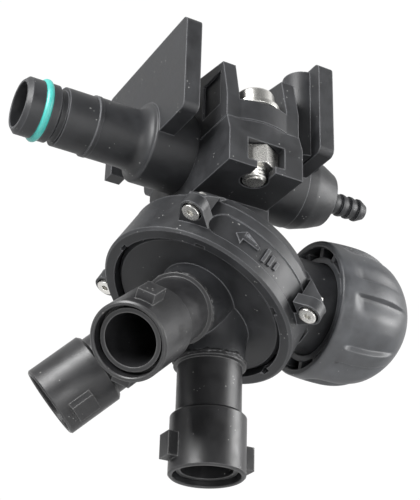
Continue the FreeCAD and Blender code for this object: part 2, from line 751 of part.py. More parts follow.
def make_collar_panel():
    """The cutter for the long sunk panel on the collar's side."""
    end_radius = "(panel_high - panel_low) / 2"
    middle = "(panel_high + panel_low) / 2"
    spread = doc.addObject("Part::Cylinder", "panel_spread")
    bind(spread, "Radius", "collar_radius + 1")
    bind(spread, "Height", "panel_high - panel_low")
    bind(spread, "Angle", "panel_to - panel_from")
    placed(spread, shifted(spun("z", "180 + panel_from"), 0, 0, "panel_low"))
    shapes = [spread]
    for name, angle in (("panel_start", "180 + panel_from"), ("panel_finish", "180 + panel_to")):
        end = rod(name, end_radius, "collar_radius + 1")
        shapes.append(placed(end, spun("z", angle) + " * " + shifted(spun("y", 90), "-(%s)" % middle, 0, 0)))
    return drilled("panel_cutter", joined("panel_outline", shapes),
                   [rod("panel_keep", "panel_floor", "40", (0, 0, "-20"))])


def make_collar():
    wall = turned("collar_wall", [
        ("housing_front", "turret_pocket"),
        ("lip_back", "turret_pocket"),
        ("lip_back", "collar_bore"),
        ("collar_front", "collar_bore"),
        ("collar_front", "collar_radius - 0.8"),
        ("collar_front - 0.8", "collar_radius"),
        ("housing_front", "collar_radius - 0.6"),
    ], "z")
    lugs = lug_centres("collar_lug", "lug_radius", "lug_back", "lug_front") + lug_flares()
    bore = rod("collar_clear", "turret_pocket", "lip_back - housing_front", (0, 0, "housing_front"))
    holes = lug_centres("collar_screw_hole", "screw_radius + screw_clearance", "lug_back - 1", "lug_front + 1")
    sinks = lug_centres("collar_sink", "screw_head + 0.45", "screw_head_back - 0.05", "lug_front + 8")
    notches = []
    for turn in range(6):
        notch = block("notch_%d" % turn, ("collar_bore - 2", "-notch_half", "collar_front - 2.5"),
                      ("collar_notch", "notch_half", "collar_front + 1"))
        placed(notch, shifted(spun("z", 60 * turn), "collar_bore - 2", "-notch_half", "collar_front - 2.5"))
        notches.append(notch)
    shape = drilled("collar_drilled", joined("collar_solid", [wall] + lugs),
                    [bore] + holes + sinks + notches + [make_collar_panel()])
    finish("retaining_collar", placed(shape, APEX))

    screws = []
    for number, angle in enumerate(SCREW_ANGLES):
        shank = rod("screw_shank_%d" % number, "screw_radius", "screw_head_back - screw_back",
                    screw_place(angle, "screw_back"))
        head = rod("screw_head_%d" % number, "screw_head", "screw_head_front - screw_head_back",
                   screw_place(angle, "screw_head_back"))
        key = hexagon("screw_key_%d" % number, "2.0", "3", screw_place(angle, "screw_head_front - 1.4"))
        screws.append(drilled("screw_%d" % number, joined("screw_solid_%d" % number, [shank, head]), [key]))
    group = doc.addObject("Part::Compound", "collar_screws")
    group.Links = screws
    finish("collar_screws", placed(group, APEX))


def make_turret():
    disc = turned("turret_disc", [
        ("0", "0"),
        ("0", "flange_radius"),
        ("flange_front", "flange_radius"),
        ("flange_front", "disc_radius"),
        ("disc_front - 1.2", "disc_radius"),
        ("disc_front", "disc_radius - 1.2"),
        ("disc_front", "0"),
    ], "z")
    pieces = [disc]
    bores = []
    for turn in range(3):
        lean = outlet_lean(120 * turn)
        stub = [
            cone("stub_flare_%d" % turn, "stub_root", "stub_radius", "stub_cone_end - stub_start", "stub_start"),
            rod("stub_tube_%d" % turn, "stub_radius", "stub_end - 1", (0, 0, 1)),
        ]
        pieces.append(placed(joined("stub_%d" % turn, stub), lean))
        bores.append(placed(rod("stub_bore_%d" % turn, "outlet_bore", "stub_end"),
                            shifted(lean, 0, 0, "stub_end - stub_bore_depth")))
        way = rod("port_bore_%d" % turn, "port_radius", "port_depth + 1",
                  ("-port_circle * cos(%d)" % (120 * turn), "-port_circle * sin(%d)" % (120 * turn), -1))
        bores.append(way)
        dimple = doc.addObject("Part::Sphere", "dimple_%d" % turn)
        bind(dimple, "Radius", "ball_radius + 0.3")
        bind(dimple, "Placement.Base.x", "ball_circle * cos(%d)" % (120 * turn))
        bind(dimple, "Placement.Base.y", "ball_circle * sin(%d)" % (120 * turn))
        bind(dimple, "Placement.Base.z", "dimple_depth - ball_radius - 0.3")
        bores.append(dimple)
    shape = drilled("turret_drilled", joined("turret_solid", pieces), bores)
    base = block("turret_back_limit", (-60, -60, 0), (60, 60, 60))
    above = doc.addObject("Part::Common", "turret_above_face")
    above.Base = shape
    above.Tool = base
    finish("turret", placed(above, APEX))


def make_outlet(label, angle):
    """A tube with a bayonet sleeve, built along local Z and leaned onto the turret's cone."""
    tube = turned(label + "_tube", [
        ("stub_end", "outlet_bore"),
        ("stub_end", "weld_radius - 0.4"),
        ("stub_end + 0.4", "weld_radius"),
        ("stub_end + weld_width", "weld_radius"),
        ("stub_end + weld_width + 0.3", "outlet_tube"),
        ("sleeve_start", "outlet_tube"),
        ("sleeve_start", "sleeve_radius - sleeve_chamfer"),
        ("sleeve_start + sleeve_chamfer", "sleeve_radius"),
        ("outlet_end - 0.5", "sleeve_radius"),
        ("outlet_end", "sleeve_radius - 0.5"),
        ("outlet_end", "sleeve_bore + 0.3"),
        ("outlet_end - 0.3", "sleeve_bore"),
        ("outlet_end - mouth_depth", "sleeve_bore"),
        ("outlet_end - mouth_depth", "inner_ring"),
        ("outlet_end - inner_ring_drop", "inner_ring"),
        ("outlet_end - inner_ring_drop", "outlet_bore"),
    ], "z")
    lugs = []
    for side in (0, 1):
        lug = block("%s_lug_%d" % (label, side), ("0", "-bayonet_half", "bayonet_start"),
                    ("bayonet_radius", "bayonet_half", "bayonet_start + bayonet_length"))
        lugs.append(placed(lug, shifted(spun("z", 180 * side), 0, "-bayonet_half", "bayonet_start")))
    passage = rod(label + "_passage", "outlet_bore", "outlet_end", (0, 0, 1))
    lug_pair = drilled(label + "_lug_pair", joined(label + "_lug_solid", lugs),
                       [rod(label + "_lug_room", "sleeve_bore + 0.5", "outlet_end", (0, 0, 1))])
    shape = joined(label, [drilled(label + "_bored", tube, [passage]), lug_pair])
    finish(label, placed(shape, APEX + " * " + outlet_lean(angle)))


# Valve insert and knob --------------------------------------------------------------------------------

def make_valve_insert():
    diaphragm = rod("diaphragm_disc", "diaphragm_radius", "diaphragm_thick", ("seat_x + 0.05", 0, "valve_z"), "x")
    finish("diaphragm", diaphragm)
    left = "seat_x + diaphragm_thick + 0.1"
    follower = rod("follower_disc", "follower_radius", "follower_thick", (left, 0, "valve_z"), "x")
    finish("spring_follower", follower)
    spring_frame = ("create(<<placement>>; create(<<vector>>; spring_left + 0.2; 0; valve_z);"
                    " create(<<rotation>>; create(<<vector>>; 0; 1; 0); 90))")
    spring_height = "thrust_left - spring_left - 2 * spring_wire - 0.4"
    spring = coil("valve_spring", "spring_radius", "spring_wire", "(%s) / 3.5" % spring_height, spring_height,
                  spring_frame)
    finish("valve_spring", spring)
    sleeve = rod("bonnet_sleeve", "chamber_radius - 0.1", "bonnet_right - (%s)" % left, (left, 0, "valve_z"), "x")
    rim = rod("bonnet_rim_ring", "bonnet_rim", "bonnet_right - valve_end - 0.1", ("valve_end + 0.1", 0, "valve_z"), "x")
    groove = drilled("bonnet_snap_groove",
                     rod("bonnet_groove_outside", "bonnet_rim + 1", "2 * snap_section + 0.1",
                         ("snap_place - snap_section - 0.05", 0, "valve_z"), "x"),
                     [rod("bonnet_groove_inside", "bonnet_rim - snap_section - 0.1", "2 * snap_section + 4",
                          ("snap_place - snap_section - 2", 0, "valve_z"), "x")])
    bore = rod("bonnet_bore", "bonnet_wall", "bonnet_right", (left, 0, "valve_z"), "x")
    keyway = block("bonnet_keyway", ("thrust_left - 4.5", "-key_reach - 0.3", "valve_z - key_half - 0.15"),
                   ("bonnet_right + 1", "key_reach + 0.3", "valve_z + key_half + 0.15"))
    finish("bonnet", drilled("bonnet", joined("bonnet_solid", [sleeve, rim]), [groove, bore, keyway]))
    nut = rod("thrust_disc", "thrust_radius", "thrust_thick", ("thrust_left", 0, "valve_z"), "x")
    keys = block("thrust_keys", ("thrust_left", "-key_reach", "valve_z - key_half"),
                 ("thrust_left + thrust_thick", "key_reach", "valve_z + key_half"))
    thread = rod("thrust_thread", "spindle_radius + thread_clearance", "thrust_thick + 2",
                 ("thrust_left - 1", 0, "valve_z"), "x")
    finish("thrust_nut", drilled("thrust_nut", joined("thrust_solid", [nut, keys]), [thread]))
    finish("knob_snap_ring", ring("knob_snap_ring", "bonnet_rim", "snap_section - 0.1", ("snap_place", 0, "valve_z"),
                                  "x"))


def make_knob():
    top = "knob_widest"
    points = [
        ("knob_rim", "knob_radius - knob_wall"),
        ("knob_rim", "knob_radius"),
        ("knob_widest_x - 3", top),
        ("knob_widest_x + 3", top),
        ("knob_widest_x + 8", "0.93 * knob_widest"),
        ("knob_widest_x + 14", "0.79 * knob_widest"),
        ("knob_widest_x + 20", "0.6 * knob_widest"),
        ("knob_widest_x + 24.5", "0.4 * knob_widest"),
        ("knob_tip - 0.6", "0.2 * knob_widest"),
        ("knob_tip", "0"),
        ("knob_tip - 2.6", "0"),
        ("knob_tip - 3.4", "0.2 * knob_widest"),
        ("knob_widest_x + 21", "0.38 * knob_widest"),
        ("knob_widest_x + 17.5", "0.53 * knob_widest"),
        ("knob_widest_x + 12", "0.7 * knob_widest"),
        ("knob_widest_x + 6.5", "0.84 * knob_widest"),
        ("knob_widest_x", "knob_widest - knob_wall"),
    ]
    shell = turned("knob_shell", points)
    sleeve = rod("knob_sleeve_outside", "knob_sleeve + knob_sleeve_wall", "knob_sleeve_end - knob_web_start + 6",
                 ("knob_web_start", 0, 0), "x")
    webs = []
    for turn in range(14):
        web = block("knob_web_%d" % turn, (0, 0, 0), ("knob_sleeve_end - knob_web_start + 6", "2 * web_half", "6.2"))
        webs.append(placed(web, shifted(spun("x", "360 * %d / 14" % turn), "knob_web_start", "-web_half",
                                        "knob_sleeve + 1")))
    outside = turned("knob_outside", points[1:10] + [("knob_rim", "0")])
    inner = joined("knob_inner", [sleeve] + webs)
    kept = doc.addObject("Part::Common", "knob_inner_kept")
    kept.Base = inner
    kept.Tool = outside
    ribs = []
    for turn in range(6):
        rib = block("knob_rib_%d" % turn, (0, 0, 0), ("24", "2 * rib_half", "rib_reach - 14"))
        ribs.append(placed(rib, shifted(spun("x", 30 + 60 * turn), "knob_rim + 1", "-rib_half", "14")))
    rib_limit = turned("knob_rib_limit", [
        ("knob_rim + 1", "knob_radius - 1"),
        ("knob_rim + 1", "rib_reach - 0.4"),
        ("knob_widest_x", "rib_reach"),
        ("knob_widest_x + 5", "rib_reach - 0.2"),
        ("knob_widest_x + 10", "0.93 * knob_widest"),
        ("knob_widest_x + 15", "0.79 * knob_widest"),
        ("knob_widest_x + 14", "0.7 * knob_widest"),
        ("knob_widest_x + 8", "0.85 * knob_widest"),
        ("knob_widest_x", "knob_widest - 1"),
    ])
    rib_kept = doc.addObject("Part::Common", "knob_ribs_kept")
    rib_kept.Base = joined("knob_ribs", ribs)
    rib_kept.Tool = rib_limit
    spindle = rod("knob_spindle", "spindle_radius", "knob_tip - 2 - (thrust_left - 1)", ("thrust_left - 1", 0, 0), "x")
    whole = joined("knob_solid", [shell, kept, rib_kept, spindle])
    hollow = drilled("knob_hollow_ring", rod("knob_hollow", "knob_sleeve", "knob_sleeve_end + 7 - knob_rim",
                                             ("knob_rim - 1", 0, 0), "x"),
                     [rod("knob_spindle_keep", "spindle_radius", "60", ("thrust_left - 1", 0, 0), "x")])
    snap = drilled("knob_snap_room", rod("knob_snap_outside", "bonnet_rim + snap_section + 0.15", "2 * snap_section + 0.5",
                                         ("snap_place - snap_section - 0.25", 0, 0), "x"),
                   [rod("knob_snap_inside", "knob_sleeve - 1", "8", ("snap_place - 4", 0, 0), "x")])
    knob = drilled("knob", whole, [hollow, snap])
    finish("knob", knob)
    bind(knob, "Placement.Base.z", "valve_z")


make_feed_pipe()
make_end_cap()
make_clamp()
make_valve_body()
make_collar()
make_turret()
make_outlet("outlet_down", 0)
make_outlet("outlet_front", 120)
make_outlet("outlet_rear", 240)
make_valve_insert()
make_knob()
doc.recompute()

for item in doc.Objects:
    if "Invalid" in item.State or "Error" in item.State:
        raise RuntimeError("%s is %s" % (item.Name, item.State))
os.makedirs("parts", exist_ok=True)
for item in FINISHED:
    if item.Shape.isNull() or not item.Shape.isValid() or not item.Shape.Solids:
        raise RuntimeError("%s has no valid solid" % item.Label)
    item.Shape.exportStep("parts/%s.step" % item.Label)
    print(item.Label, len(item.Shape.Solids), round(item.Shape.Volume, 1))
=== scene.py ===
# %% [markdown]
# # A three-way nozzle valve, finished in Blender
# The valve is an assembly of moulded, glass-filled nylon pieces held by stainless fasteners, with rubber
# rings on its spigot. Its shapes come from the CAD frame, which is loaded first and never moved. This
# lesson gives the pieces their finish and adds the small things that moulding and machining leave.

# %% Load the frame
import json
import math
import random

import bmesh
import bpy
from mathutils import Matrix, Vector


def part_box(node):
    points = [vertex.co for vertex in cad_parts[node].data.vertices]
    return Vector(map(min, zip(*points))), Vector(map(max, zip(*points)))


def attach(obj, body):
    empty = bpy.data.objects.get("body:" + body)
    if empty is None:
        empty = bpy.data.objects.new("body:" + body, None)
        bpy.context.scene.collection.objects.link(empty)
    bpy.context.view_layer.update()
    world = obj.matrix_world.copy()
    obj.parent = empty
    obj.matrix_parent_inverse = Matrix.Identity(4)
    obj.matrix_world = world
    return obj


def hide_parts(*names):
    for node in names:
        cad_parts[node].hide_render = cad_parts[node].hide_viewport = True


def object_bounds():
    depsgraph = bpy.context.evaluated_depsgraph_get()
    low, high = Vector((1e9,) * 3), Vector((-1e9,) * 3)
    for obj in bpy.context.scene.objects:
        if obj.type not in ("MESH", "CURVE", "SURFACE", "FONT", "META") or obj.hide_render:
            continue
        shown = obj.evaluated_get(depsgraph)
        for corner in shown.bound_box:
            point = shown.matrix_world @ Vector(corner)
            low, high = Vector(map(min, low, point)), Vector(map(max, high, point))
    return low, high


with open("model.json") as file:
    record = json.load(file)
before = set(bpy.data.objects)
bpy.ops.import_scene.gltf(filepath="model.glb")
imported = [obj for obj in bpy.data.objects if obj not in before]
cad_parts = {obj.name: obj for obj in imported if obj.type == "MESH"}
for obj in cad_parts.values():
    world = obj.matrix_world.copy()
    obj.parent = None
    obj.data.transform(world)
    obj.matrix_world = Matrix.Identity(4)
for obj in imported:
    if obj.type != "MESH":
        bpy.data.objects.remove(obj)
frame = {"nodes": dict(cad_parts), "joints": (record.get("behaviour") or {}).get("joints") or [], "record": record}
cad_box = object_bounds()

nodes = frame["nodes"]
joints = {joint["name"]: joint for joint in frame["joints"]}
MM = 0.001
print("pieces from the frame:", len(nodes))

# %% [markdown]
# ## Places that the rest of the lesson uses
# The pieces were drawn around a few axes: the feed pipe's, the turret's and the knob's. Reading them
# from the joints keeps every added detail in place if the design changes.

# %% Axes
turret_apex = Vector(joints["turret_spin"]["pos_m"])
turret_axis = Vector(joints["turret_spin"]["axis"]).normalized()
bolt_point = Vector(joints["bolt_turn"]["pos_m"])
knob_point = Vector(joints["knob_turn"]["pos_m"])
mounts = {mount["name"]: mount for mount in frame["record"]["mounts"]}
print("turret axis", [round(v, 3) for v in turret_axis])

# %% [markdown]
# ## Effects shared by several materials
# Grain, pale edges and dust appear on nearly every nylon piece, only stronger or weaker. The pale edges
# stand partly for wear and partly for a painted highlight. Each is a node group with named inputs, built
# once. A group gives out masks, heights or normals and leaves the Principled shader to the material that
# uses it.

# %% A helper that starts a node group
def start_group(name, inputs, outputs):
    group = bpy.data.node_groups.new(name, "ShaderNodeTree")
    for title, kind, first in inputs:
        socket = group.interface.new_socket(title, in_out="INPUT", socket_type="NodeSocket" + kind)
        socket.default_value = first
    for title, kind in outputs:
        group.interface.new_socket(title, in_out="OUTPUT", socket_type="NodeSocket" + kind)
    source = group.nodes.new("NodeGroupInput")
    result = group.nodes.new("NodeGroupOutput")
    return group, source, result


def add_node(tree, kind, **settings):
    node = tree.nodes.new("ShaderNode" + kind)
    for name, setting in settings.items():
        setattr(node, name, setting)
    return node


def plug(tree, node, title, origin):
    """Connect an output to an input, or set the input if a plain value is given."""
    socket = node.inputs[title]
    if isinstance(origin, bpy.types.NodeSocket):
        tree.links.new(origin, socket)
    else:
        socket.default_value = origin


def calculate(tree, operation, first, second=0.0, clamp=False):
    node = add_node(tree, "Math", operation=operation, use_clamp=clamp)
    plug(tree, node, 0, first)
    plug(tree, node, 1, second)
    return node.outputs[0]


def noise(tree, scale, detail=2.0, roughness=0.5, where=None):
    node = add_node(tree, "TexNoise")
    plug(tree, node, "Scale", scale)
    plug(tree, node, "Detail", detail)
    plug(tree, node, "Roughness", roughness)
    if where is None:
        where = add_node(tree, "TexCoord").outputs["Object"]
    plug(tree, node, "Vector", where)
    return node.outputs["Fac"]


# %% Grain: the fine spark-eroded texture of a mould
grain, grain_in, grain_out = start_group(
    "Mould grain",
    [("Size", "Float", 4200.0), ("Ripple", "Float", 260.0), ("Ripple share", "Float", 0.35)],
    [("Height", "Float")])
fine = noise(grain, grain_in.outputs["Size"], 3.0, 0.6)
ripple = noise(grain, grain_in.outputs["Ripple"], 2.0, 0.5)
mixed = add_node(grain, "Mix")
plug(grain, mixed, "Factor", grain_in.outputs["Ripple share"])
plug(grain, mixed, 2, fine)
plug(grain, mixed, 3, ripple)
grain.links.new(mixed.outputs[0], grain_out.inputs["Height"])

# %% Edges: a rounded look, and a mask of pale edges that stands partly for wear and partly for a painted highlight
EDGE_SAMPLES = 6
EDGE_BREAKUP_SCALE = 900.0
EDGE_BREAKUP_FLOOR = 0.35
edges, edges_in, edges_out = start_group(
    "Soft edges",
    [("Radius", "Float", 0.00035), ("Pale edge radius", "Float", 0.0008), ("Wear and highlight", "Float", 3.0)],
    [("Normal", "Vector"), ("Edge mask", "Float")])
soft = add_node(edges, "Bevel", samples=EDGE_SAMPLES)
plug(edges, soft, "Radius", edges_in.outputs["Radius"])
wide = add_node(edges, "Bevel", samples=EDGE_SAMPLES)
plug(edges, wide, "Radius", edges_in.outputs["Pale edge radius"])
true_normal = add_node(edges, "NewGeometry").outputs["Normal"]
facing = add_node(edges, "VectorMath", operation="DOT_PRODUCT")
edges.links.new(wide.outputs[0], facing.inputs[0])
edges.links.new(true_normal, facing.inputs[1])
# The mask rises where the wide bevel turns from the true face, on every edge alike: partly wear, partly a painted
# highlight.
turned_away = calculate(edges, "SUBTRACT", 1.0, facing.outputs["Value"], True)
edge_band = calculate(edges, "MULTIPLY", turned_away, edges_in.outputs["Wear and highlight"], True)
edge_breakup = calculate(edges, "ADD", noise(edges, EDGE_BREAKUP_SCALE, 3.0), EDGE_BREAKUP_FLOOR)
edge_mask_worn_and_lit = calculate(edges, "MULTIPLY", edge_band, edge_breakup, True)
edges.links.new(soft.outputs[0], edges_out.inputs["Normal"])
edges.links.new(edge_mask_worn_and_lit, edges_out.inputs["Edge mask"])

# %% Dust: sparse pale specks
SPECK_CELLS = 620.0
SPECK_RADIUS = 0.13
SPARSE_SCALE = 190.0
dust, dust_in, dust_out = start_group(
    "Dust",
    [("Specks", "Float", 0.62)],
    [("Speck mask", "Float")])
speck = add_node(dust, "TexVoronoi", feature="F1")
plug(dust, speck, "Scale", SPECK_CELLS)
plug(dust, speck, "Vector", add_node(dust, "TexCoord").outputs["Object"])
near = calculate(dust, "LESS_THAN", speck.outputs["Distance"], SPECK_RADIUS)
sparse = calculate(dust, "GREATER_THAN", noise(dust, SPARSE_SCALE, 1.0), dust_in.outputs["Specks"])
dust.links.new(calculate(dust, "MULTIPLY", near, sparse, True), dust_out.inputs["Speck mask"])
print("shared groups:", [group.name for group in bpy.data.node_groups])

# %% [markdown]
# ## Moulded nylon
# Glass-filled nylon leaves the mould a charcoal black. It is matt where the steel was spark-eroded and
# has a dull shine where the tool was polished. Colour and roughness wander in patches because the glass
# shows at the skin. Corners are painted paler, partly for the rub they take and partly as a painted
# highlight. One function makes each shade.

# %% Moulded nylon materials
PATCH_SCALE = 140.0
DARK_PATCH, PALE_PATCH = 0.2, 2.6
DUST_COLOUR = (0.3, 0.3, 0.29, 1)
DUST_SHARE = 0.5
GRAIN_DEPTH = 0.00006
NYLON_SPECULAR = 0.36


def moulded_nylon(name, shade, edge_colour_worn_and_lit, roughness, spread, bump, edge_radius=0.00035):
    material = bpy.data.materials.new(name)
    material.use_nodes = True
    tree = material.node_tree
    shader = tree.nodes["Principled BSDF"]
    shader.inputs["Specular IOR Level"].default_value = NYLON_SPECULAR
    edge = add_node(tree, "Group", node_tree=edges)
    edge.inputs["Radius"].default_value = edge_radius
    speck = add_node(tree, "Group", node_tree=dust)
    patch = noise(tree, PATCH_SCALE, 4.0, 0.6)
    tone = add_node(tree, "Mix", data_type="RGBA")
    plug(tree, tone, "Factor", patch)
    tone.inputs["A"].default_value = (*[c * DARK_PATCH for c in shade], 1)
    tone.inputs["B"].default_value = (*[c * PALE_PATCH for c in shade], 1)
    # Edges mix towards the paler edge colour, partly for wear and partly as a painted highlight.
    edged = add_node(tree, "Mix", data_type="RGBA")
    plug(tree, edged, "Factor", edge.outputs["Edge mask"])
    tree.links.new(tone.outputs["Result"], edged.inputs["A"])
    edged.inputs["B"].default_value = (*edge_colour_worn_and_lit, 1)
    dusty = add_node(tree, "Mix", data_type="RGBA")
    plug(tree, dusty, "Factor", calculate(tree, "MULTIPLY", speck.outputs["Speck mask"], DUST_SHARE))
    tree.links.new(edged.outputs["Result"], dusty.inputs["A"])
    dusty.inputs["B"].default_value = DUST_COLOUR
    tree.links.new(dusty.outputs["Result"], shader.inputs["Base Color"])
    wander = calculate(tree, "MULTIPLY", calculate(tree, "SUBTRACT", patch, 0.5), spread)
    tree.links.new(calculate(tree, "ADD", wander, roughness, True), shader.inputs["Roughness"])
    texture = add_node(tree, "Group", node_tree=grain)
    relief = add_node(tree, "Bump")
    relief.inputs["Strength"].default_value = bump
    relief.inputs["Distance"].default_value = GRAIN_DEPTH
    tree.links.new(texture.outputs["Height"], relief.inputs["Height"])
    tree.links.new(edge.outputs["Normal"], relief.inputs["Normal"])
    tree.links.new(relief.outputs["Normal"], shader.inputs["Normal"])
    return material


# In each call the second colour is the paler edge colour: partly wear, partly a painted highlight.
matt_black = moulded_nylon(
    "Matt black nylon", (0.008, 0.0083, 0.0092), (0.10, 0.102, 0.108),
    roughness=0.5, spread=0.34, bump=0.7)
glossy_black = moulded_nylon(
    "Polished black nylon", (0.007, 0.007, 0.0075), (0.09, 0.09, 0.09),
    roughness=0.4, spread=0.4, bump=0.35)
knob_black = moulded_nylon(
    "Knob nylon", (0.022, 0.023, 0.025), (0.12, 0.12, 0.125),
    roughness=0.44, spread=0.25, bump=0.6, edge_radius=0.0006)
print("nylon:", matt_black.name, glossy_black.name, knob_black.name)

# %% [markdown]
# ## Metal, rubber and acetal
# The bolt, nut and screws are turned stainless steel, brushed round their own axes by the tool. The
# spigot's ring is a soft green rubber; the hidden seals are black. Acetal is the waxy white plastic of
# small sliding parts.

# %% Stainless steel
STEEL_DARK = (0.62, 0.61, 0.58, 1)
STEEL_PALE = (0.78, 0.77, 0.74, 1)
STAIN_SCALE = 420.0
STEEL_EDGE = 0.0003
SCRATCH_SPREAD = 0.25
SCRATCH_STRENGTH, SCRATCH_DEPTH = 0.12, 0.00004


def stainless_steel(name, roughness, scratch_direction):
    material = bpy.data.materials.new(name)
    material.use_nodes = True
    tree = material.node_tree
    shader = tree.nodes["Principled BSDF"]
    shader.inputs["Metallic"].default_value = 1.0
    place = add_node(tree, "Mapping")
    plug(tree, place, "Vector", add_node(tree, "TexCoord").outputs["Object"])
    place.inputs["Scale"].default_value = scratch_direction
    lines = noise(tree, 1.0, 4.0, 0.7, place.outputs["Vector"])
    stain = noise(tree, STAIN_SCALE, 3.0)
    tone = add_node(tree, "Mix", data_type="RGBA")
    plug(tree, tone, "Factor", stain)
    tone.inputs["A"].default_value = STEEL_DARK
    tone.inputs["B"].default_value = STEEL_PALE
    tree.links.new(tone.outputs["Result"], shader.inputs["Base Color"])
    wander = calculate(tree, "MULTIPLY", calculate(tree, "SUBTRACT", lines, 0.5), SCRATCH_SPREAD)
    tree.links.new(calculate(tree, "ADD", wander, roughness, True), shader.inputs["Roughness"])
    edge = add_node(tree, "Group", node_tree=edges)
    edge.inputs["Radius"].default_value = STEEL_EDGE
    relief = add_node(tree, "Bump")
    relief.inputs["Strength"].default_value = SCRATCH_STRENGTH
    relief.inputs["Distance"].default_value = SCRATCH_DEPTH
    tree.links.new(lines, relief.inputs["Height"])
    tree.links.new(edge.outputs["Normal"], relief.inputs["Normal"])
    tree.links.new(relief.outputs["Normal"], shader.inputs["Normal"])
    return material


turned_steel = stainless_steel("Turned stainless", 0.28, (2500.0, 2500.0, 9000.0))
spring_wire = stainless_steel("Spring wire", 0.3, (3000.0, 3000.0, 3000.0))


# %% Rubber and acetal
CLOUD_SPREAD = 0.2
SKIN_SCALE = 3000.0
SKIN_DEPTH = 0.00003


def smooth_moulding(name, shade, paler, roughness, scale, bump):
    material = bpy.data.materials.new(name)
    material.use_nodes = True
    tree = material.node_tree
    shader = tree.nodes["Principled BSDF"]
    cloud = noise(tree, scale, 3.0)
    tone = add_node(tree, "Mix", data_type="RGBA")
    plug(tree, tone, "Factor", cloud)
    tone.inputs["A"].default_value = (*shade, 1)
    tone.inputs["B"].default_value = (*paler, 1)
    tree.links.new(tone.outputs["Result"], shader.inputs["Base Color"])
    wander = calculate(tree, "MULTIPLY", calculate(tree, "SUBTRACT", cloud, 0.5), CLOUD_SPREAD)
    tree.links.new(calculate(tree, "ADD", wander, roughness, True), shader.inputs["Roughness"])
    relief = add_node(tree, "Bump")
    relief.inputs["Strength"].default_value = bump
    relief.inputs["Distance"].default_value = SKIN_DEPTH
    tree.links.new(noise(tree, SKIN_SCALE, 2.0), relief.inputs["Height"])
    tree.links.new(relief.outputs["Normal"], shader.inputs["Normal"])
    return material


green_rubber = smooth_moulding(
    "Green ring rubber", (0.018, 0.2, 0.18), (0.04, 0.3, 0.27),
    roughness=0.42, scale=500.0, bump=0.2)
black_rubber = smooth_moulding(
    "Black seal rubber", (0.012, 0.012, 0.012), (0.03, 0.03, 0.03),
    roughness=0.6, scale=400.0, bump=0.3)
white_acetal = smooth_moulding(
    "White acetal", (0.72, 0.71, 0.66), (0.8, 0.79, 0.75),
    roughness=0.35, scale=200.0, bump=0.15)
print("materials:", len(bpy.data.materials))

# %% [markdown]
# ## Giving each piece its finish
# The record names a slot for each piece. A small table turns slots into materials, and the three outlets
# get the polished nylon because their tools were polished.

# %% Assign the materials
SLOT_FINISH = {
    "moulded_black": matt_black,
    "knob_grey": knob_black,
    "seal_green": green_rubber,
    "seal_black": black_rubber,
    "stainless": turned_steel,
    "spring_steel": spring_wire,
    "white_acetal": white_acetal,
}
NODE_FINISH = {
    "outlet_down": glossy_black,
    "outlet_front": glossy_black,
    "outlet_rear": glossy_black,
}
for part in frame["record"]["subparts"]:
    piece = nodes[part["node"]]
    finish = NODE_FINISH.get(part["node"], SLOT_FINISH[part["material_slot"]])
    piece.data.materials.clear()
    piece.data.materials.append(finish)

# %% [markdown]
# ## Soft transitions
# The frame's meshes come as one patch for each CAD face, so a fillet drawn as short cones shows bands.
# Welding the patches, splitting only real corners and weighting the normals by face area gives the even
# shading of a polished mould. These are modifiers, so the frame's own vertices stay as they are.

# %% Weld, split and weight the normals
CORNER_ANGLE = math.radians(34)
WELD_GAP = 0.002 * MM
for piece in nodes.values():
    weld = piece.modifiers.new("Weld patches", "WELD")
    weld.merge_threshold = WELD_GAP
    split = piece.modifiers.new("Split corners", "EDGE_SPLIT")
    split.split_angle = CORNER_ANGLE
    split.use_edge_sharp = False
    weight = piece.modifiers.new("Weight normals", "WEIGHTED_NORMAL")
    weight.keep_sharp = False
print("smoothed pieces:", len(nodes))

# %% [markdown]
# ## A builder for turned and fluted shapes
# The knob, the bolt and the weld flash are all rings of points that follow an axis. Each row states
# where it lies along the axis and what radius it has at any angle, so a plain turned shape, a hexagon
# and a screw thread come from the same few lines.

# %% Rows of points around an axis
def axis_frame(point, direction, across):
    """A matrix at a point whose Z follows the direction and whose X leans towards across."""
    up = Vector(direction).normalized()
    side = up.cross(Vector(across)).normalized()
    out = side.cross(up)
    return Matrix.Translation(point) @ Matrix((out, side, up)).transposed().to_4x4()


def add_rows(mesh, where, rows, segments, closed=False):
    """Join rows of (place, radius) in mm; a radius may be a function of the angle in degrees."""
    rings = []
    for place, radius in rows:
        ring = []
        for step in range(segments):
            degrees = 360.0 * step / segments
            reach = radius(degrees) if callable(radius) else radius
            turn = math.radians(degrees)
            lift = place(degrees) if callable(place) else place
            spot = Vector((reach * math.cos(turn), reach * math.sin(turn), lift)) * MM
            ring.append(mesh.verts.new(where @ spot))
        rings.append(ring)
    pairs = list(zip(rings, rings[1:])) + ([(rings[-1], rings[0])] if closed else [])
    for low, high in pairs:
        for step in range(segments):
            after = (step + 1) % segments
            mesh.faces.new((low[step], low[after], high[after], high[step]))
    if not closed:
        mesh.faces.new(list(reversed(rings[0])))
        mesh.faces.new(rings[-1])


def add_slab(mesh, where, corners, low, high):
    """A flat prism in mm: corners in the XY plane of a frame, between two heights."""
    bottom = [mesh.verts.new(where @ (Vector((across, along, low)) * MM)) for across, along in corners]
    top = [mesh.verts.new(where @ (Vector((across, along, high)) * MM)) for across, along in corners]
    mesh.faces.new(list(reversed(bottom)))
    mesh.faces.new(top)
    for step in range(len(corners)):
        after = (step + 1) % len(corners)
        mesh.faces.new((bottom[step], bottom[after], top[after], top[step]))


def finish_piece(name, mesh, material, body, sharp=CORNER_ANGLE):
    bmesh.ops.recalc_face_normals(mesh, faces=mesh.faces)
    data = bpy.data.meshes.new(name)
    mesh.to_mesh(data)
    mesh.free()
    piece = bpy.data.objects.new(name, data)
    bpy.context.scene.collection.objects.link(piece)
    data.materials.append(material)
    data.shade_smooth()
    split = piece.modifiers.new("Split corners", "EDGE_SPLIT")
    split.split_angle = sharp
    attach(piece, body)
    return piece


